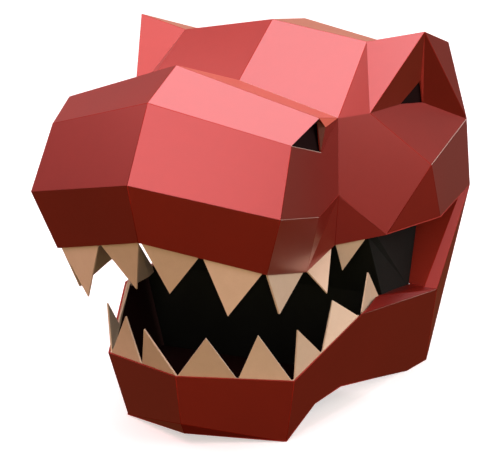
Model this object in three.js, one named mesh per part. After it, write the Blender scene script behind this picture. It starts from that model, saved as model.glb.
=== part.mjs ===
// A dinosaur's head mask, folded from flat card: red outer card, black throat card, cream teeth.
// Millimetres, +Z up, the nose towards -Y and the animal's left towards +X.
// The corners are given with the head level. The finished mask is then pitched back on to its base.
import * as THREE from "three";

// Card
const CARD = 1.5; // thickness of the folded red and black card
const SEAM = 0.3; // gap between two pieces that meet at a glued seam
const GLUE_BAND = 4; // part of a tooth strip that is glued behind the edge of the lip or the jaw

// Base plane: the chin and the heels of the jaw stand on one plane, which slopes while the head is level
const CHIN_Y = -83.5;
const CHIN_Z = -160;
const BASE_SLOPE = 0.15;
const onBase = (y) => CHIN_Z + BASE_SLOPE * (y - CHIN_Y);

// Folds that cross the middle line: y, z of the corner in the middle, then x, y, z of the one at the side
const CROSS_FOLDS = [
  { fold: "lip", mid: [-194, 30.5], side: [101, -160.5, 8] },
  { fold: "nose", mid: [-210, 81], side: [119, -172, 57.5] },
  { fold: "muzzle", mid: [-176.5, 143], side: [114, -144, 112.5] },
  { fold: "nostril", mid: [-129.5, 168], side: [120.5, -107, 130] },
  { fold: "bridge", mid: [-20.5, 141], side: [100, -28, 116.5] },
  { fold: "crown", mid: [43, 188], side: [92, 46, 173] },
  { fold: "crown_rear", mid: [108, 182], side: [92, 110, 162] },
  { fold: "jaw", mid: [-135.5, -99], side: [93, -94.5, -101] },
  { fold: "chin", mid: [-127, -143.5], side: [80, CHIN_Y, CHIN_Z] },
];

// The keel is the one corner that the chin has below its fold, on the middle line
const KEEL = [-121, -154];

// Corners that only the sides have, from the top of the head down: x, y, z on the left
const SIDE_CORNERS = {
  horn_tip: [143.5, 54, 184],
  horn_rear: [145, 105, 169],
  eye_top: [131.5, 75, 138],
  eye_front: [123, 50, 119],
  eye_rear: [129, 87.5, 115.5],
  brow: [118, -2, 118],
  nostril_rear: [113.5, -80, 117.5],
  nostril_low: [106, -73, 94],
  nostril_tab: [109.5, -88, 124],
  nape_high: [148.5, 144, 94],
  nape_low: [151, 150, 32],
  cheek_peak: [155, 48, 68],
  cheek_front: [101.5, -29, 49],
  cheek_low: [130, 10, 10],
  cheek_heel: [156, 69, 17],
  lip_fold: [108.5, -81, 41],
  lip_low: [91.5, -69, -10],
  lip_corner: [97, -26, 4.5],
  throat_top: [115.5, 1, 10],
  roof_front: [118, 10, 10.5],
  throat_fold: [118, 28, -49.5],
  throat_neck: [117, 28, -54.5],
  lining_low: [118, 87.3, -55.5],
  ledge_front: [118.5, 25, -49.5],
  ledge_rear: [119.5, 89, -53],
  throat_wide: [124, 28, -62],
  throat_foot: [107, 28, -127],
  niche_top: [107, 133, 7],
  niche_low: [117.7, 89, -53],
  post_foot: [134, 86.5, -54],
  post_top: [144.5, 140, 23.5],
  jaw_corner: [121, -19, -56],
  heel_top: [144, 93, -56],
  heel_low: [127, 112, onBase(112)],
  heel_front: [120, 84, onBase(84)],
  arch_rear: [102, -22, -124],
  arch_front: [93, -54, -132],
  base_rear: [62, -36, onBase(-36)],
  floor_rear: [111, 30, -129],
  nostril_pad_front: [111.4, -136, 104],
  nostril_pad_low: [102.6, -62, 84],
  nostril_pad_rear: [100.9, -52, 110],
  nostril_pad_high: [102.8, -70, 122.5],
  nostril_pad_top: [107.4, -108, 130.5],
  nostril_pad_tip: [110.9, -134, 113.5],
  eye_pad_front: [117, 33.7, 115.3],
  eye_pad_rear: [127.8, 101.2, 109],
  eye_pad_top: [132.3, 78.7, 149.5],
  fang_front: [118.9, -15, -55.4],
  fang_front_low: [118.5, -12.7, -61.1],
  fang_fold_low: [115.5, 13.3, -57.3],
  fang_rear_low: [117.2, 24.8, -55.6],
  fang_rear: [117.6, 22.5, -49.9],
  fang_tip: [118, -0.7, -23],
};

// Strips of teeth along an edge of the piece that carries them, a span for each panel from the middle out.
// The last span ends short of its second corner, at the given part of it.
// Each tooth is bent at its foot, which starts and ends at parts of the span. Its tip is x, y, z on the left.
const TOOTH_STRIPS = [
  {
    name: "upper_teeth",
    carrier: "upper_lip",
    edge: ["lip_mid", "lip", "lip_low", "lip_corner", "cheek_low"],
    lastPart: 0.68,
    spans: [
      [
        { start: 0.01, end: 0.48, tip: [16, -171, -16] },
        { start: 0.5, end: 0.98, tip: [67.5, -165.5, -30] },
      ],
      [{ start: 0.02, end: 0.98, tip: [98, -132, -32] }],
      [{ start: 0.03, end: 0.94, tip: [111.5, -70, -26.5] }],
      [{ start: 0.06, end: 0.92, tip: [97, -10, -22] }],
    ],
  },
  {
    name: "lower_teeth",
    carrier: "lower_jaw",
    edge: ["jaw_mid", "jaw", "jaw_corner"],
    lastPart: 0.97,
    spans: [
      [
        { start: 0.01, end: 0.51, tip: [30.5, -136.5, -60.5] },
        { start: 0.53, end: 0.98, tip: [65.5, -109, -60] },
      ],
      [
        { start: 0.02, end: 0.42, tip: [95, -92.5, -55.5] },
        { start: 0.44, end: 0.99, tip: [101.5, -39, -41] },
      ],
    ],
  },
];

const RED = { color: 0xb5262c, roughness: 0.55, metalness: 0 };
const BLACK = { color: 0x1a1816, roughness: 0.7, metalness: 0 };
const CREAM = { color: 0xdcc39c, roughness: 0.6, metalness: 0 };

// Each piece is a list of flat panels, and each panel a ring of corners, anticlockwise from outside.
// A name alone is the corner on the left, ~ marks its twin on the right, and _mid is on the middle line.
// A panel that names no twin is made on both sides: in one node, or as a left and a right node if paired.
const PIECES = [
  {
    name: "snout",
    card: RED,
    panels: [
      "nose_mid nose muzzle muzzle_mid",
      "muzzle_mid muzzle nostril nostril_mid",
      "nostril_mid nostril bridge bridge_mid",
      "nostril nostril_rear bridge",
      "nostril_low bridge nostril_rear",
      "nostril_low nostril_rear nostril_tab",
      "nose lip_fold cheek_front bridge nostril_low muzzle",
    ],
  },
  {
    name: "upper_lip",
    card: RED,
    panels: [
      "lip_mid lip nose nose_mid",
      "lip lip_low lip_fold",
      "lip lip_fold nose",
      "lip_low lip_corner cheek_front",
      "lip_low cheek_front lip_fold",
      "lip_corner cheek_low cheek_front",
    ],
  },
  {
    name: "forehead",
    card: RED,
    panels: [
      "bridge_mid bridge crown crown_mid",
      "crown_mid crown crown_rear crown_rear_mid",
      "bridge brow crown",
    ],
  },
  {
    name: "horn",
    card: RED,
    paired: true,
    panels: [
      "crown brow horn_tip",
      "brow eye_front eye_top horn_tip",
      "horn_tip eye_top eye_rear nape_high",
      "horn_tip nape_high horn_rear",
      "crown horn_tip crown_rear",
      "horn_tip horn_rear crown_rear",
    ],
  },
  {
    name: "cheek",
    card: RED,
    paired: true,
    panels: [
      "cheek_front cheek_low cheek_peak brow bridge",
      "brow cheek_peak nape_high eye_rear eye_front",
      "cheek_peak cheek_heel nape_low nape_high",
      "cheek_low cheek_heel cheek_peak",
    ],
  },
  {
    name: "upright",
    card: RED,
    paired: true,
    panels: [
      "cheek_heel cheek_low roof_front",
      "cheek_heel roof_front niche_top",
      "cheek_heel niche_top post_top",
      "cheek_heel post_top nape_low",
      "niche_low post_foot post_top niche_top",
      "post_foot heel_top nape_low post_top",
      "heel_top heel_low nape_low",
    ],
  },
  {
    name: "mouth_ledge",
    card: RED,
    paired: true,
    panels: ["jaw_corner heel_top ledge_front", "ledge_front heel_top post_foot ledge_rear"],
  },
  {
    name: "lower_jaw",
    card: RED,
    panels: [
      "chin_mid chin jaw jaw_mid",
      "keel_mid chin chin_mid",
      "chin arch_front arch_rear floor_rear heel_front heel_low heel_top jaw_corner jaw",
    ],
  },
  {
    name: "jaw_base",
    card: RED,
    panels: [
      "keel_mid ~chin chin",
      "chin ~chin ~base_rear base_rear",
      "chin base_rear arch_front",
      "base_rear arch_rear arch_front",
      "base_rear ~base_rear ~arch_rear arch_rear",
      "arch_rear ~arch_rear ~floor_rear floor_rear",
    ],
  },
  {
    name: "mouth_lining",
    card: BLACK,
    panels: [
      "~throat_fold throat_fold throat_top ~throat_top",
      "~throat_foot throat_foot throat_wide throat_neck throat_fold ~throat_fold ~throat_neck ~throat_wide",
      "throat_top throat_fold throat_neck lining_low roof_front",
      "roof_front lining_low niche_top",
    ],
  },
  {
    name: "nostril_lining",
    card: BLACK,
    paired: true,
    panels: [
      "nostril_pad_front nostril_pad_low nostril_pad_rear nostril_pad_high nostril_pad_top nostril_pad_tip",
    ],
  },
  {
    name: "eye_lining",
    card: BLACK,
    paired: true,
    panels: ["eye_pad_front eye_pad_rear eye_pad_top"],
  },
  {
    name: "rear_tooth",
    card: CREAM,
    paired: true,
    panels: [
      "fang_front_low fang_fold_low fang_tip fang_front",
      "fang_fold_low fang_rear_low fang_rear fang_tip",
    ],
  },
];

// Corners by name, with a twin on the right for each corner of a side
const corners = new Map();
function addPair(name, [x, y, z]) {
  corners.set(name, new THREE.Vector3(x, y, z));
  corners.set("~" + name, new THREE.Vector3(-x, y, z));
}
for (const { fold, mid, side } of CROSS_FOLDS) {
  corners.set(fold + "_mid", new THREE.Vector3(0, ...mid));
  addPair(fold, side);
}
corners.set("keel_mid", new THREE.Vector3(0, ...KEEL));
for (const [name, at] of Object.entries(SIDE_CORNERS)) addPair(name, at);

// Outward normal of a ring of corners, averaged round the ring (Newell's sum)
function normalOf(ring) {
  const sum = new THREE.Vector3();
  ring.forEach((name, i) => {
    const next = corners.get(ring[(i + 1) % ring.length]);
    sum.add(corners.get(name).clone().cross(next));
  });
  return sum.normalize();
}

// A panel: its ring of names, its normal, and the ring cut into triangles in the panel's own plane
function panelOf(ring) {
  const normal = normalOf(ring);
  const across = corners.get(ring[1]).clone().sub(corners.get(ring[0])).normalize();
  const up = normal.clone().cross(across);
  const flat = ring.map((name) => {
    const p = corners.get(name);
    return new THREE.Vector2(p.dot(across), p.dot(up));
  });
  const triangles = THREE.ShapeUtils.triangulateShape(flat, []).map((t) => t.map((i) => ring[i]));
  return { ring, normal, triangles };
}

// The same panel on the other side of the middle line
const MIRROR = new THREE.Vector3(-1, 1, 1);
const sideName = (name) => name.replace("~", "");
const twinName = (name) => (name.endsWith("_mid") ? name : name[0] === "~" ? sideName(name) : "~" + name);
const twinRing = (ring) => ring.map(twinName).reverse();
const twinOf = ({ ring, triangles }) => ({
  ring: twinRing(ring),
  normal: normalOf(twinRing(ring)),
  triangles: triangles.map(twinRing),
});
const isAcross = ({ ring }) => ring.some((name) => name[0] === "~");

// Every piece with its panels worked out: one entry for each node
function nodesOf({ name, card, paired, panels }) {
  const left = panels.map((text) => panelOf(text.split(" ")));
  const right = left.filter((panel) => !isAcross(panel)).map(twinOf);
  if (!paired) return [{ name, card, panels: [...left, ...right] }];
  return [
    { name: name + "_left", card, panels: left },
    { name: name + "_right", card, panels: right },
  ];
}
const nodes = PIECES.flatMap(nodesOf);

// The shift that best meets a list of conditions, each a direction and how far to go along it
function bestShift(conditions) {
  const EASE = 1e-6; // keeps the sum solvable where all the directions lie in one plane
  const m = [EASE, 0, 0, 0, EASE, 0, 0, 0, EASE];
  const right = new THREE.Vector3();
  for (const { along, by } of conditions) {
    const d = along.toArray();
    for (let i = 0; i < 9; i++) m[i] += d[Math.floor(i / 3)] * d[i % 3];
    right.addScaledVector(along, by);
  }
  return right.applyMatrix3(new THREE.Matrix3().set(...m).invert());
}

// The panels of a tooth strip: a glue band, and one panel for each tooth.
// The band lies one seam behind the card that carries it, and folds where that card folds.
function toothPanels({ name, carrier, edge, lastPart, spans }) {
  const label = (i, row) => (edge[i].endsWith("_mid") ? `${name}_${row}_mid` : `${name}_${i}_${row}`);
  const carrying = nodes.find((node) => node.name === carrier).panels.flatMap(({ triangles }) => triangles);
  const last = spans.length;
  // The card in front of each span: its normal, and the direction in it square to the edge
  const fronts = spans.map((teeth, i) => {
    const triangle = carrying.find((t) => t.includes(edge[i]) && t.includes(edge[i + 1]));
    const apex = triangle.find((corner) => corner !== edge[i] && corner !== edge[i + 1]);
    const run = corners.get(edge[i + 1]).clone().sub(corners.get(edge[i]));
    const up = corners.get(apex).clone().sub(corners.get(edge[i]));
    up.addScaledVector(run, -up.dot(run) / run.lengthSq()).normalize();
    return { normal: normalOf(triangle), up };
  });
  const at = edge.map((corner, i) => {
    const { normal, up } = fronts[Math.min(i, last - 1)];
    const other = i > 0 ? fronts[i - 1].normal : normal.clone().multiply(MIRROR);
    const rise = i < last ? other.clone().cross(normal).normalize() : up.clone();
    if (rise.dot(up) < 0) rise.negate();
    const shift = bestShift([
      { along: rise, by: 0 },
      { along: normal, by: -CARD - SEAM },
      { along: other, by: -CARD - SEAM },
    ]);
    return { low: corners.get(corner).clone().add(shift), rise };
  });
  at[last].low.lerpVectors(at[last - 1].low, at[last].low, lastPart);
  at.forEach(({ low, rise }, i) => {
    const high = low.clone().addScaledVector(rise, GLUE_BAND);
    if (i > 0) {
      addPair(label(i, "low"), low.toArray());
      addPair(label(i, "high"), high.toArray());
    } else {
      corners.set(label(i, "low"), low);
      corners.set(label(i, "high"), high);
    }
  });
  return spans.flatMap((teeth, i) => {
    const from = at[i].low;
    const run = at[i + 1].low.clone().sub(from);
    const above = fronts[i].normal.clone().cross(run).dot(fronts[i].up) > 0;
    const inOrder = (ring) => (above ? ring : ring.toReversed());
    const feet = [label(i, "low")];
    const points = [];
    teeth.forEach(({ start, end, tip }, j) => {
      const tooth = `${name}_${i}_${j}`;
      addPair(tooth + "_start", from.clone().addScaledVector(run, start).toArray());
      addPair(tooth + "_end", from.clone().addScaledVector(run, end).toArray());
      addPair(tooth + "_tip", tip);
      feet.push(tooth + "_start", tooth + "_end");
      points.push(panelOf(inOrder([tooth + "_start", tooth + "_tip", tooth + "_end"])));
    });
    feet.push(label(i + 1, "low"));
    const [nearTop, farTop] = [label(i, "high"), label(i + 1, "high")];
    const ring = [...feet, farTop, nearTop];
    const fan = ring.slice(1, -1).map((corner, k) => inOrder([nearTop, ring[k], corner]));
    return [{ ring: inOrder(ring), normal: fronts[i].normal, triangles: fan }, ...points];
  });
}
for (const strip of TOOTH_STRIPS) {
  const left = toothPanels(strip);
  nodes.push({ name: strip.name, card: CREAM, panels: [...left, ...left.map(twinOf)] });
}

// The inner side of each corner, one card thickness behind every panel that meets there, in any piece
const behind = new Map();
for (const name of corners.keys()) {
  const meeting = nodes.flatMap(({ panels }) => panels.filter(({ ring }) => ring.includes(name)));
  behind.set(name, bestShift(meeting.map(({ normal }) => ({ along: normal, by: -CARD }))));
}

// The edges of a piece that no other panel of the piece shares, each with the direction into its panel
function rimOf(panels) {
  const edges = panels.flatMap(({ ring, normal }) =>
    ring.map((from, i) => ({ from, to: ring[(i + 1) % ring.length], normal })),
  );
  const shared = new Set(edges.map(({ from, to }) => to + " " + from));
  const rim = edges.filter(({ from, to }) => !shared.has(from + " " + to));
  return rim.map(({ from, to, normal }) => {
    const run = corners.get(to).clone().sub(corners.get(from));
    return { from, to, inward: normal.clone().cross(run).normalize() };
  });
}

// A piece of folded card: outer panels, inner panels, and a cut edge all round the rim.
// Its rim is drawn in by half a seam, and its corners leave the planes of their panels only where they must.
function foldedCard(panels) {
  const HOLD = 0.2; // weight of a panel's plane against the seam
  const rim = rimOf(panels);
  const outer = new Map();
  const inner = new Map();
  for (const name of new Set(panels.flatMap(({ ring }) => ring))) {
    const cuts = rim.filter(({ from, to }) => from === name || to === name);
    const faces = panels.filter(({ ring }) => ring.includes(name));
    const shift = bestShift([
      ...cuts.map(({ inward }) => ({ along: inward, by: SEAM / 2 })),
      ...faces.map(({ normal }) => ({ along: normal.clone().multiplyScalar(HOLD), by: 0 })),
    ]);
    outer.set(name, corners.get(name).clone().add(shift));
    inner.set(name, outer.get(name).clone().add(behind.get(name)));
  }

  const points = [];
  for (const [i, j, k] of panels.flatMap(({ triangles }) => triangles)) {
    points.push(outer.get(i), outer.get(j), outer.get(k));
    points.push(inner.get(k), inner.get(j), inner.get(i));
  }
  // Both pieces at a seam split its edge along the same diagonal, so that their cut edges stay parallel
  for (const { from, to } of rim) {
    if (sideName(from) < sideName(to)) {
      points.push(outer.get(to), outer.get(from), inner.get(to));
      points.push(outer.get(from), inner.get(from), inner.get(to));
    } else {
      points.push(outer.get(to), outer.get(from), inner.get(from));
      points.push(outer.get(to), inner.get(from), inner.get(to));
    }
  }
  const geometry = new THREE.BufferGeometry().setFromPoints(points);
  geometry.computeVertexNormals();
  return geometry;
}

const mask = new THREE.Group();
for (const { name, card, panels } of nodes) {
  const mesh = new THREE.Mesh(foldedCard(panels), new THREE.MeshStandardMaterial(card));
  mesh.name = name;
  mask.add(mesh);
}

// Pitch the head back until the base plane is level, then put the origin under the middle of the mask
mask.rotation.x = -Math.atan(BASE_SLOPE);
const box = new THREE.Box3().setFromObject(mask, true);
mask.position.set(0, -(box.min.y + box.max.y) / 2, -box.min.z);

export default mask;
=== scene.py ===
# A dinosaur's head mask of folded card, on a pale floor in soft studio light.
# The pieces follow in the order in which the mask is glued together, then the camera and the lights.
import math

import bpy
from mathutils import Matrix, Vector
from mathutils.bvhtree import BVHTree


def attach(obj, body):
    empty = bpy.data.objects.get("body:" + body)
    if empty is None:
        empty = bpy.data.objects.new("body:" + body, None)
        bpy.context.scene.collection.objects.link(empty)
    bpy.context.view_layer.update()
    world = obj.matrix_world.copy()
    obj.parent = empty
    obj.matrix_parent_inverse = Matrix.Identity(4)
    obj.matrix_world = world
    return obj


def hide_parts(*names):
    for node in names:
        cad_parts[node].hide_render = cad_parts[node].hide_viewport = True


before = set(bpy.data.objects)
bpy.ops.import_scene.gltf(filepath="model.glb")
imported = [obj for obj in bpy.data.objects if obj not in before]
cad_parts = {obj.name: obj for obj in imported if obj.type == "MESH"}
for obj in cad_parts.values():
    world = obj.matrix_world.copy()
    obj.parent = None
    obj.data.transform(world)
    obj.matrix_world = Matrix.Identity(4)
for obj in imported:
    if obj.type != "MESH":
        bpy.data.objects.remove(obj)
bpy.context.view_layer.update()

# Snout
# Nose front, nose top, bridge and nose sides, scored and folded from one sheet of glossy pearl red card.
# The folds are pressed round by hand, and the pale core of the card shows where it is cut or rubbed.
# The bridge and the brow behind the nostril are dull. Three panels carry painted light and shade:
# the bridge is painted orange for light thrown back under the forehead, the brow a bright orange
# for light shining through the card, and the nostril's tab a dark brown for the shade in the nostril.
FOLD_ROUND = 0.0003  # how far a fold is rounded to each side
FOLD_STEPS = 2  # faces across a rounded fold
FLAT_ANGLE = math.radians(6)  # a smaller turn than this is one flat panel
WELD = 0.00001  # corners nearer than this are one corner
SKIN = 0.00001  # how far under a face the search for the other side of the card starts
SHEET = 0.0026  # more than the thickness of the card, less than the width of any panel
OPPOSITE = -0.95  # the normals of a panel's face and back have a product below this
SEAM_PUSH = 0.0003  # how far a cut edge comes forward, over the gap that the solids keep at a seam
RUB_REACH = 0.002  # how near a fold or an edge lies to the line that marks it as rubbed
PATCH_REACH = 0.004  # how near the middle of a panel lies to the point that marks it
MASK_HEART = Vector((0, 0.15, 0.05))  # a point that every piece turns its back to
BY_EDGE = (False, True, False)  # the selection takes edges
BY_FACE = (False, False, True)  # the selection takes faces
FACE, BACK, CUT, FOLD, RUBBED = range(5)  # the places of the finishes on a piece of card
CLOUD = {"Scale": 110, "Detail": 4, "Roughness": 0.6}
FIBRE = {"Scale": 900, "Detail": 3, "Roughness": 0.7}
HANDLING = {"Scale": 14, "Detail": 2, "Roughness": 0.5}
CLOUD_TINT, FIBRE_TINT, HANDLED_TINT = 0.5, 0.3, 0.2  # the share of each in the colour
CLOUD_RELIEF, FIBRE_RELIEF = 0.3, 0.7  # the share of each in the grain
FIBRE_SHEEN, HANDLED_SHEEN = 0.06, 0.1  # how much each varies the roughness
GRAIN_DEPTH = 0.0002
MIX_FACTOR, MIX_FIRST, MIX_SECOND, MIX_RESULT = 0, 6, 7, 2  # the colour sockets of a mix node
PEARL = 0.85
GLOSS = 1.0
COAT_ROUGH = 0.28
COAT_IOR = 1.75
RED_DEEP = (0.34, 0.014, 0.005, 1)
RED_CLEAR = (0.42, 0.020, 0.008, 1)
RED_WORN = (0.44, 0.045, 0.030, 1)
# Painted shade: the back of the red card is coloured nearly black for the deep shade inside the mask.
BACK_PAINTED_SHADE_DEEP = (0.012, 0.002, 0.002, 1)
BACK_PAINTED_SHADE_CLEAR = (0.020, 0.004, 0.003, 1)
CORE_DEEP = (0.50, 0.36, 0.30, 1)
CORE_CLEAR = (0.72, 0.58, 0.50, 1)
# Painted light: the bridge's orange stands in for light thrown back into the fold under the forehead.
BRIDGE_BOUNCE_DEEP = (0.44, 0.070, 0.042, 1)
BRIDGE_BOUNCE_CLEAR = (0.52, 0.092, 0.056, 1)
# Painted light: the brow's bright orange stands in for light shining through the card.
BROW_PAINTED_GLOW_DEEP = (0.80, 0.15, 0.09, 1)
BROW_PAINTED_GLOW_CLEAR = (0.92, 0.19, 0.12, 1)
# Painted shade: the tab's dark brown stands in for the shade in the nostril's hollow.
TAB_PAINTED_SHADE_DEEP = (0.22, 0.07, 0.05, 1)
TAB_PAINTED_SHADE_CLEAR = (0.26, 0.09, 0.065, 1)


class Tone:
    """One socket of a material, so that sums on it are written as plain expressions."""

    def __init__(self, tree, socket=None):
        self.tree = tree
        self.socket = socket

    def node(self, kind, settings, inputs, output=0):
        made = self.tree.nodes.new(kind)
        for key, value in settings.items():
            setattr(made, key, value)
        for key, value in inputs.items():
            if isinstance(value, Tone):
                self.tree.links.new(value.socket, made.inputs[key])
            else:
                made.inputs[key].default_value = value
        return Tone(self.tree, made.outputs[output])

    def math(self, operation, first, second):
        return self.node("ShaderNodeMath", {"operation": operation}, {0: first, 1: second})

    def __add__(self, other):
        return self.math("ADD", self, other)

    def __radd__(self, other):
        return self.math("ADD", other, self)

    def __mul__(self, other):
        return self.math("MULTIPLY", self, other)

    def __rmul__(self, other):
        return self.math("MULTIPLY", other, self)

    def mix(self, factor, first, second):
        inputs = {MIX_FACTOR: factor, MIX_FIRST: first, MIX_SECOND: second}
        return self.node("ShaderNodeMix", {"data_type": "RGBA"}, inputs, MIX_RESULT)

    def feeds(self, socket):
        self.tree.links.new(self.socket, socket)


def card_finish(name, deep, clear, roughness, grain, pearl=0.0, gloss=0.0, shine=0.5):
    """Card with a cloudy formation, short fibres and a sheen that handling has made uneven."""
    finish = bpy.data.materials.new(name)
    finish.use_nodes = True
    shader = finish.node_tree.nodes["Principled BSDF"]
    paper = Tone(finish.node_tree)
    place = paper.node("ShaderNodeTexCoord", {}, {}, "Object")
    cloud = paper.node("ShaderNodeTexNoise", {}, {"Vector": place, **CLOUD})
    fibre = paper.node("ShaderNodeTexNoise", {}, {"Vector": place, **FIBRE})
    handling = paper.node("ShaderNodeTexNoise", {}, {"Vector": place, **HANDLING})
    formation = cloud * CLOUD_TINT + fibre * FIBRE_TINT + handling * HANDLED_TINT
    colour = paper.mix(formation, deep, clear)
    colour.feeds(shader.inputs["Base Color"])
    shader.inputs["Metallic"].default_value = pearl
    shader.inputs["Specular IOR Level"].default_value = shine
    shader.inputs["Coat Weight"].default_value = gloss
    shader.inputs["Coat Roughness"].default_value = COAT_ROUGH
    shader.inputs["Coat IOR"].default_value = COAT_IOR
    smoothest = roughness - (HANDLED_SHEEN + FIBRE_SHEEN) / 2
    sheen = smoothest + HANDLED_SHEEN * handling + FIBRE_SHEEN * fibre
    sheen.feeds(shader.inputs["Roughness"])
    relief = fibre * FIBRE_RELIEF + cloud * CLOUD_RELIEF
    bump = {"Strength": grain, "Distance": GRAIN_DEPTH, "Height": relief}
    surface = paper.node("ShaderNodeBump", {}, bump)
    surface.feeds(shader.inputs["Normal"])
    return finish


def edge_faces(mesh):
    """The numbers of the faces beside each edge."""
    sharing = {}
    for polygon in mesh.polygons:
        for key in polygon.edge_keys:
            sharing.setdefault(key, []).append(polygon.index)
    return sharing


def sort_faces(mesh):
    """The numbers of the faces on a card's face side, of those on its back, and of its cut edges."""
    mesh.calc_loop_triangles()
    widest = {}
    for triangle in mesh.loop_triangles:
        best = widest.get(triangle.polygon_index)
        if best is None or triangle.area > best.area:
            widest[triangle.polygon_index] = triangle
    inside = BVHTree.FromPolygons(
        [v.co for v in mesh.vertices],
        [t.vertices for t in mesh.loop_triangles],
    )
    panels = set()
    for index, triangle in widest.items():
        inward = -triangle.normal
        place, normal, _, depth = inside.ray_cast(triangle.center + inward * SKIN, inward)
        if place is not None and depth < SHEET and normal.dot(triangle.normal) < OPPOSITE:
            panels.add(index)
    cuts = set(widest) - panels
    # Panels that share a fold are on one side of the sheet
    sharing = edge_faces(mesh)
    sides = []
    waiting = set(panels)
    while waiting:
        side = set()
        reached = [waiting.pop()]
        while reached:
            index = reached.pop()
            side.add(index)
            for key in mesh.polygons[index].edge_keys:
                beyond = [other for other in sharing[key] if other in waiting]
                waiting.difference_update(beyond)
                reached.extend(beyond)
        sides.append(side)

    def facing(side):
        return sum(
            widest[i].normal.dot(widest[i].center - MASK_HEART) * mesh.polygons[i].area for i in side
        )

    faces = set().union(*(side for side in sides if facing(side) > 0))
    return faces, panels - faces, cuts


def left_twin(point):
    """The point itself on the left side of the mask, or its mirror image there."""
    return Vector((abs(point.x), point.y, point.z))


def lies_along(point, lines):
    """Whether a point, on either side of the mask, is close to one of the lines from point to point."""
    spot = left_twin(point)
    for first, last in lines:
        start = Vector(first)
        run = Vector(last) - start
        along = min(1, max(0, (spot - start).dot(run) / run.length_squared))
        if (spot - start - run * along).length < RUB_REACH:
            return True
    return False


def fold_card(node, finishes, rubbed=(), painted_patches=(), pressed=True):
    """A piece of card over its solid: flat panels, and its core bare along the rubbed lines.
    A patch is the middle of a panel, on the left side of the mask, and the finish painted on that panel
    for its light or shade.
    Where it is pressed together, its folds are round and its cut edges meet those of its neighbours."""
    bpy.ops.object.select_all(action="DESELECT")
    piece = bpy.data.objects.new(node + "_card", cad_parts[node].data.copy())
    bpy.context.scene.collection.objects.link(piece)
    bpy.context.view_layer.objects.active = piece
    piece.select_set(True)
    mesh = piece.data
    mesh.materials.clear()
    for finish in finishes:
        mesh.materials.append(finish)
    bpy.context.tool_settings.mesh_select_mode = BY_EDGE
    bpy.ops.object.mode_set(mode="EDIT")
    bpy.ops.mesh.customdata_custom_splitnormals_clear()
    bpy.ops.mesh.select_all(action="SELECT")
    bpy.ops.mesh.remove_doubles(threshold=WELD)
    bpy.ops.mesh.dissolve_limited(angle_limit=FLAT_ANGLE)
    bpy.ops.mesh.select_all(action="DESELECT")
    bpy.ops.object.mode_set(mode="OBJECT")
    faces, backs, cuts = sort_faces(mesh)
    for place, members in ((FACE, faces), (BACK, backs), (CUT, cuts)):
        for index in members:
            mesh.polygons[index].material_index = place
    # Panels painted with their own light or shade take their own finish
    for middle, finish in painted_patches:
        mesh.materials.append(finish)
        for index in faces:
            if (left_twin(mesh.polygons[index].center) - Vector(middle)).length < PATCH_REACH:
                mesh.polygons[index].material_index = len(mesh.materials) - 1
    # The cut edges come forward to those of the next card
    for polygon in mesh.polygons:
        polygon.select = pressed and polygon.index in cuts
    bpy.context.tool_settings.mesh_select_mode = BY_FACE
    bpy.ops.object.mode_set(mode="EDIT")
    if pressed:
        bpy.ops.transform.shrink_fatten(value=SEAM_PUSH, use_even_offset=True)
    bpy.ops.mesh.select_all(action="DESELECT")
    bpy.context.tool_settings.mesh_select_mode = BY_EDGE
    bpy.ops.object.mode_set(mode="OBJECT")
    # The folds and the rubbed edges become round
    sharing = edge_faces(mesh)
    for edge in mesh.edges:
        beside = [index in faces for index in sharing[edge.key]]
        middle = (mesh.vertices[edge.vertices[0]].co + mesh.vertices[edge.vertices[1]].co) / 2
        is_fold = pressed and all(beside)
        is_rubbed = any(beside) and lies_along(middle, rubbed)
        edge.select = is_fold or is_rubbed
    bpy.ops.object.mode_set(mode="EDIT")
    bpy.ops.mesh.bevel(offset=FOLD_ROUND, segments=FOLD_STEPS, material=FOLD)
    bpy.ops.mesh.select_all(action="SELECT")
    bpy.ops.mesh.faces_shade_smooth()
    bpy.ops.object.mode_set(mode="OBJECT")
    sharing = edge_faces(mesh)
    for edge in mesh.edges:
        edge.use_edge_sharp = any(mesh.polygons[i].material_index != FOLD for i in sharing[edge.key])
    for polygon in mesh.polygons:
        if polygon.material_index == FOLD and lies_along(polygon.center, rubbed):
            polygon.material_index = RUBBED
    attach(piece, "root")
    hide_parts(node)


red_face = card_finish(
    "red card face", RED_DEEP, RED_CLEAR, roughness=0.5, grain=0.12, pearl=PEARL, gloss=GLOSS
)
# The back of the red card is painted nearly black, as painted shade for the hollow inside of the mask.
red_back_painted_shade = card_finish("red card back in painted shade", BACK_PAINTED_SHADE_DEEP, BACK_PAINTED_SHADE_CLEAR, roughness=0.8, grain=0.3, shine=0.1)
red_fold = card_finish("red card fold", RED_DEEP, RED_CLEAR, roughness=0.6, grain=0.3, pearl=PEARL)
red_cut = card_finish("red card cut edge", RED_DEEP, RED_WORN, roughness=0.8, grain=0.4)
pale_core = card_finish("pale card core", CORE_DEEP, CORE_CLEAR, roughness=0.85, grain=0.4)
red_card = (red_face, red_back_painted_shade, red_cut, red_fold, pale_core)
bridge_painted_bounce = card_finish("bridge of the nose in painted bounce light", BRIDGE_BOUNCE_DEEP, BRIDGE_BOUNCE_CLEAR, roughness=0.6, grain=0.12)
brow_painted_glow = card_finish("brow of the nostril in painted glow", BROW_PAINTED_GLOW_DEEP, BROW_PAINTED_GLOW_CLEAR, roughness=0.6, grain=0.12)
tab_painted_shade = card_finish("tab of the nostril in painted shade", TAB_PAINTED_SHADE_DEEP, TAB_PAINTED_SHADE_CLEAR, roughness=0.7, grain=0.2)
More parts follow.
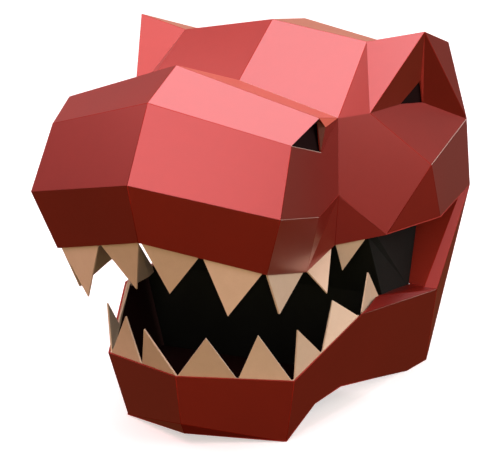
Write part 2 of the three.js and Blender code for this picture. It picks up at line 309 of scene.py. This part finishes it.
# Panels of the snout that are painted with their light or shade.
snout_painted_patches = [
    ((0.055, -0.031, 0.294), bridge_painted_bounce),
    ((0.111, -0.033, 0.277), brow_painted_glow),
    ((0.110, -0.043, 0.268), tab_painted_shade),
]
nostril_sill = ((0.114, -0.106, 0.278), (0.106, -0.039, 0.250))
lip_seam = ((0.119, -0.142, 0.228), (0.1085, -0.055, 0.198))
fold_card("snout", red_card, [nostril_sill, lip_seam], snout_painted_patches)

# Upper lip
# A strip of the same red card, folded round the front and sides of the upper jaw, glued under the snout.
# Its top edge is rubbed pale at the side of the nose.
fold_card("upper_lip", red_card, [lip_seam])

# Forehead
# Forehead, crown and two narrow brow triangles of red card, folded as one and glued over the bridge.
# Its lower edge stands a little open and shows the core of the card.
brow_edge = ((0, 0.020, 0.2885), (0.100, 0.009, 0.265))
fold_card("forehead", red_card, [brow_edge])

# Horns
# A pointed horn of red card over each eye, folded to a tip, with the eye cut out at its foot.
# Each is glued to the crown on the inside and to the cheek below.
for side in ("left", "right"):
    fold_card("horn_" + side, red_card)

# Cheeks
# The cheek, the shelf under the eye and the rear of the head, one folded red card on each side.
# The fold from the cheek's peak to the nape has been rubbed down to the core.
cheek_ridge = ((0.155, 0.077, 0.206), (0.1485, 0.176, 0.2175))
for side in ("left", "right"):
    fold_card("cheek_" + side, red_card, [cheek_ridge])

# Lower jaw
# The chin front and both jaw sides, folded from one red card.
# Its rear corners are glued to the uprights, and its top edge carries the lower teeth on the inside.
fold_card("lower_jaw", red_card)

# Jaw base
# The underside of the chin and the jaw, a red card glued inside the lower edge of the jaw.
# The mask stands on its flat chin panel.
fold_card("jaw_base", red_card)

# Uprights
# A folded post of red card at each corner of the mouth, glued to the cheek above and to the jaw below.
# Its inner panel, the niche beside the throat, is dull, and is painted a darker red as painted shade for
# the shadow under the cheek.
NICHE_PAINTED_SHADE_DEEP = (0.30, 0.024, 0.013, 1)
NICHE_PAINTED_SHADE_CLEAR = (0.37, 0.033, 0.018, 1)
niche_painted_shade = card_finish(
    "niche of the mouth in painted shade", NICHE_PAINTED_SHADE_DEEP, NICHE_PAINTED_SHADE_CLEAR, roughness=0.7, grain=0.12, shine=0.2
)
niche_shade_patch = ((0.126, 0.127, 0.110), niche_painted_shade)
for side in ("left", "right"):
    fold_card("upright_" + side, red_card, painted_patches=[niche_shade_patch])

# Mouth ledges
# A narrow shelf of red card on top of the jaw at each corner of the mouth.
# Its outer edge is cut, and shows the core.
ledge_edge = ((0.121, -0.008, 0.093), (0.144, 0.103, 0.077))
for side in ("left", "right"):
    fold_card("mouth_ledge_" + side, red_card, [ledge_edge])

# Mouth lining
# The throat, a dull black card with a panel folded forward at each side.
# It is glued behind the mouth, and both of its sides and its edges are black.
BLACK_DEEP = (0.006, 0.008, 0.007, 1)
BLACK_CLEAR = (0.013, 0.017, 0.015, 1)
black_face = card_finish("black card", BLACK_DEEP, BLACK_CLEAR, roughness=0.6, grain=0.2, shine=0.1)
black_card = (black_face,) * len(red_card)
fold_card("mouth_lining", black_card)

# Nostril and eye linings
# Small flat patches of card, painted nearly black with a trace of red as painted shade for the dark
# hollow inside the head.
# They are glued behind the nostrils and the eyes, so that these holes look dark.
SHADE_DEEP = (0.008, 0.002, 0.002, 1)
SHADE_CLEAR = (0.015, 0.004, 0.004, 1)
shade_face = card_finish(
    "painted shade in the openings", SHADE_DEEP, SHADE_CLEAR, roughness=0.8, grain=0.2, shine=0.1
)
shade_card = (shade_face,) * len(red_card)
for side in ("left", "right"):
    fold_card("nostril_lining_" + side, shade_card)
    fold_card("eye_lining_" + side, shade_card)

# Teeth
# Triangles of cream card, cut in strips, bent at the foot and glued inside the lip and the jaw.
# The last tooth of the lower jaw is a card of its own on each side, folded down the middle.
CREAM_DEEP = (0.62, 0.47, 0.31, 1)
CREAM_CLEAR = (0.78, 0.62, 0.44, 1)
CREAM_EDGE = (0.80, 0.68, 0.54, 1)
cream_face = card_finish("cream card", CREAM_DEEP, CREAM_CLEAR, roughness=0.5, grain=0.15)
cream_core = card_finish("cream card core", CREAM_CLEAR, CREAM_EDGE, roughness=0.8, grain=0.4)
cream_card = (cream_face, cream_face, cream_core, cream_core, cream_core)
for node in ("upper_teeth", "lower_teeth", "rear_tooth_left", "rear_tooth_right"):
    fold_card(node, cream_card, pressed=False)

# Camera
# A long lens that looks down on the mask from the animal's left.
# Its angles are those to the level head, which is then pitched back on its base.
PITCH = math.atan(0.15)
AZIMUTH = math.radians(28)
ELEVATION = math.radians(12.86)
AIM = Vector((0, 0.0193, 0.1459))
DISTANCE = 1.8
LENS = 144
SENSOR = 36
lens = bpy.data.cameras.new("camera")
lens.lens = LENS
lens.sensor_width = SENSOR
lens.sensor_fit = "HORIZONTAL"
camera = bpy.data.objects.new("camera", lens)
bpy.context.scene.collection.objects.link(camera)
turn = (
    Matrix.Rotation(-PITCH, 3, "X")
    @ Matrix.Rotation(AZIMUTH, 3, "Z")
    @ Matrix.Rotation(math.pi / 2 - ELEVATION, 3, "X")
)
camera.rotation_euler = turn.to_euler()
camera.location = AIM + turn @ Vector((0, 0, DISTANCE))
bpy.context.scene.camera = camera

# Floor
# A wide sheet of pale studio paper under the mask, with a light of its own that keeps it nearly white.
# It takes the mask's soft shadow, but neither lights the mask nor shows in its gloss.
FLOOR_SIZE = 14
FLOOR_ROUGH = 0.9
FLOOR_GLOW = 0.6
PAPER = (0.86, 0.86, 0.85, 1)
bpy.ops.mesh.primitive_plane_add(size=FLOOR_SIZE)
floor = bpy.context.object
floor.name = "floor"
floor_finish = bpy.data.materials.new("studio paper")
floor_finish.use_nodes = True
floor_shader = floor_finish.node_tree.nodes["Principled BSDF"]
floor_shader.inputs["Base Color"].default_value = PAPER
floor_shader.inputs["Roughness"].default_value = FLOOR_ROUGH
floor_shader.inputs["Emission Color"].default_value = PAPER
floor_shader.inputs["Emission Strength"].default_value = FLOOR_GLOW
floor.data.materials.append(floor_finish)
floor.visible_diffuse = False
floor.visible_glossy = False
floor.visible_shadow = False

# Lights
# Soft boxes round the mask: a broad cool one overhead, a large neutral one at the animal's left,
# and small warm ones in front, above the nose, at the right and behind.
# The room between them glows in level bands, dark and warm below and paler above.
SOFT_BOXES = [
    {"name": "overhead", "at": (0.0, 0.2, 1.9), "size": 1.6, "watts": 23.3, "tint": (0.88, 0.9, 1.0)},
    {"name": "behind", "at": (0.0, 1.3, 1.5), "size": 1.2, "watts": 6.4, "tint": (1.0, 0.7, 0.72)},
    {"name": "above nose", "at": (0.0, -1.0, 1.6), "size": 1.2, "watts": 11.0, "tint": (1.0, 0.59, 0.65)},
    {"name": "front", "at": (0.5, -2.0, 1.0), "size": 1.0, "watts": 6.9, "tint": (1.0, 0.77, 0.58)},
    {"name": "right", "at": (-1.2, 0.0, 1.4), "size": 1.0, "watts": 7.9, "tint": (1.0, 0.48, 0.48)},
    {"name": "front low", "at": (0.4, -1.9, 0.2), "size": 0.8, "watts": 5.2, "tint": (1.0, 0.72, 0.28)},
    {"name": "left side", "at": (1.9, 0.4, 0.95), "size": 1.5, "watts": 25.0, "tint": (1.0, 0.95, 0.96)},
    {"name": "behind low", "at": (-0.75, 1.95, 0.5), "size": 1.0, "watts": 2.2, "tint": (1.0, 0.5, 0.3)},
]
MASK_MIDDLE = Vector((0, 0, 0.17))
for box in SOFT_BOXES:
    lamp = bpy.data.lights.new(box["name"], "AREA")
    lamp.size = box["size"]
    lamp.energy = box["watts"]
    lamp.color = box["tint"]
    holder = bpy.data.objects.new(box["name"], lamp)
    bpy.context.scene.collection.objects.link(holder)
    holder.location = box["at"]
    holder.rotation_euler = (holder.location - MASK_MIDDLE).to_track_quat("Z", "Y").to_euler()

GLOW_DEEP = (0.036, 0.013, 0.005, 1)
GLOW_BANDS = [
    {"above": -0.72, "tint": (0.143, 0.052, 0.021, 1)},
    {"above": -0.35, "tint": (0.172, 0.133, 0.111, 1)},
    {"above": 0.0, "tint": (0.236, 0.189, 0.172, 1)},
    {"above": 0.3, "tint": (0.294, 0.208, 0.212, 1)},
]
BACKGROUND = (1, 1, 1, 1)
room = bpy.data.worlds.new("studio")
room.use_nodes = True
bpy.context.scene.world = room
wall = Tone(room.node_tree)
ahead = wall.node("ShaderNodeTexCoord", {}, {}, "Generated")
height = wall.node("ShaderNodeSeparateXYZ", {}, {"Vector": ahead}, "Z")
glow = GLOW_DEEP
for band in GLOW_BANDS:
    above = wall.math("GREATER_THAN", height, band["above"])
    glow = wall.mix(above, glow, band["tint"])
fill = wall.node("ShaderNodeBackground", {}, {"Color": glow})
white = wall.node("ShaderNodeBackground", {}, {"Color": BACKGROUND})
seen = wall.node("ShaderNodeLightPath", {}, {}, "Is Camera Ray")
mixed = wall.node("ShaderNodeMixShader", {}, {0: seen, 1: fill, 2: white})
mixed.feeds(room.node_tree.nodes["World Output"].inputs["Surface"])
bpy.context.scene.view_settings.view_transform = "Standard"
